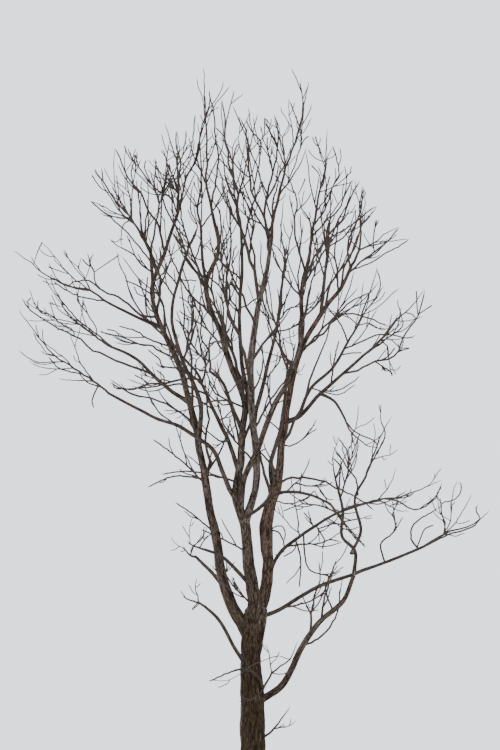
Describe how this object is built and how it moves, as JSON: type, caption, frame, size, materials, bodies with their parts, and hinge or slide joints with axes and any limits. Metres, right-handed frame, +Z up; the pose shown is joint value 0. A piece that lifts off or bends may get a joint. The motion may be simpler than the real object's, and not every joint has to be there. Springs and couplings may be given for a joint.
{
  "type": "bare tree",
  "caption": "Tall bare broad-leaved tree with a trunk that forks into stems, upswept boughs and an open crown of bare twigs.",
  "frame": {"origin": "middle of the flat cut under the trunk, at ground level", "axes": "+Z up the trunk, +X to the right and +Y away from the viewer as the picture shows the tree"},
  "size_m": [13.0687, 10.5, 20.4836],
  "materials": {
    "trunk_bark": "rough furrowed grey-brown bark",
    "limb_bark": "rough grey-brown bark, finer than the trunk's",
    "twig_bark": "matt dark brown twig bark"
  },
  "bodies": {
    "root": {"trunk": "trunk_bark", "mid_leader": "limb_bark", "right_leader": "limb_bark", "left_leader": "limb_bark", "centre_leader": "limb_bark", "crossing_bough": "limb_bark", "low_right_bough": "limb_bark", "low_right_riser": "limb_bark", "low_right_outer": "limb_bark", "far_right_bough": "limb_bark", "lowest_left_bough": "limb_bark", "low_left_bough": "limb_bark", "low_left_upper": "limb_bark", "right_flat_bough": "limb_bark", "right_slim_bough": "limb_bark", "back_bough": "limb_bark", "front_bough": "limb_bark", "inner_left_bough": "limb_bark", "left_sweeping_bough": "limb_bark", "left_middle_bough": "limb_bark", "left_inner_bough": "limb_bark", "left_reaching_bough": "limb_bark", "left_outer_bough": "limb_bark", "mid_left_bough": "limb_bark", "centre_left_bough": "limb_bark", "centre_right_bough": "limb_bark", "right_middle_bough": "limb_bark", "right_rising_bough": "limb_bark", "right_drooping_bough": "limb_bark", "right_upper_bough": "limb_bark", "twigs_mid_top": "twig_bark", "twigs_right_top": "twig_bark", "twigs_left_top": "twig_bark", "twigs_centre_top": "twig_bark", "twigs_crossing": "twig_bark", "twigs_low_right_riser": "twig_bark", "twigs_low_right_outer": "twig_bark", "twigs_far_right": "twig_bark", "twigs_lowest_left": "twig_bark", "twigs_low_left": "twig_bark", "twigs_low_left_upper": "twig_bark", "twigs_right_flat": "twig_bark", "twigs_right_slim": "twig_bark", "twigs_back": "twig_bark", "twigs_front": "twig_bark", "twigs_inner_left": "twig_bark", "twigs_left_sweeping": "twig_bark", "twigs_left_middle": "twig_bark", "twigs_left_inner": "twig_bark", "twigs_left_reaching": "twig_bark", "twigs_left_outer": "twig_bark", "twigs_mid_left": "twig_bark", "twigs_centre_left": "twig_bark", "twigs_centre_right": "twig_bark", "twigs_right_middle": "twig_bark", "twigs_right_rising": "twig_bark", "twigs_right_drooping": "twig_bark", "twigs_right_upper": "twig_bark", "twigs_trunk_middle": "twig_bark", "twigs_trunk_low": "twig_bark"}
  },
  "joints": []
}
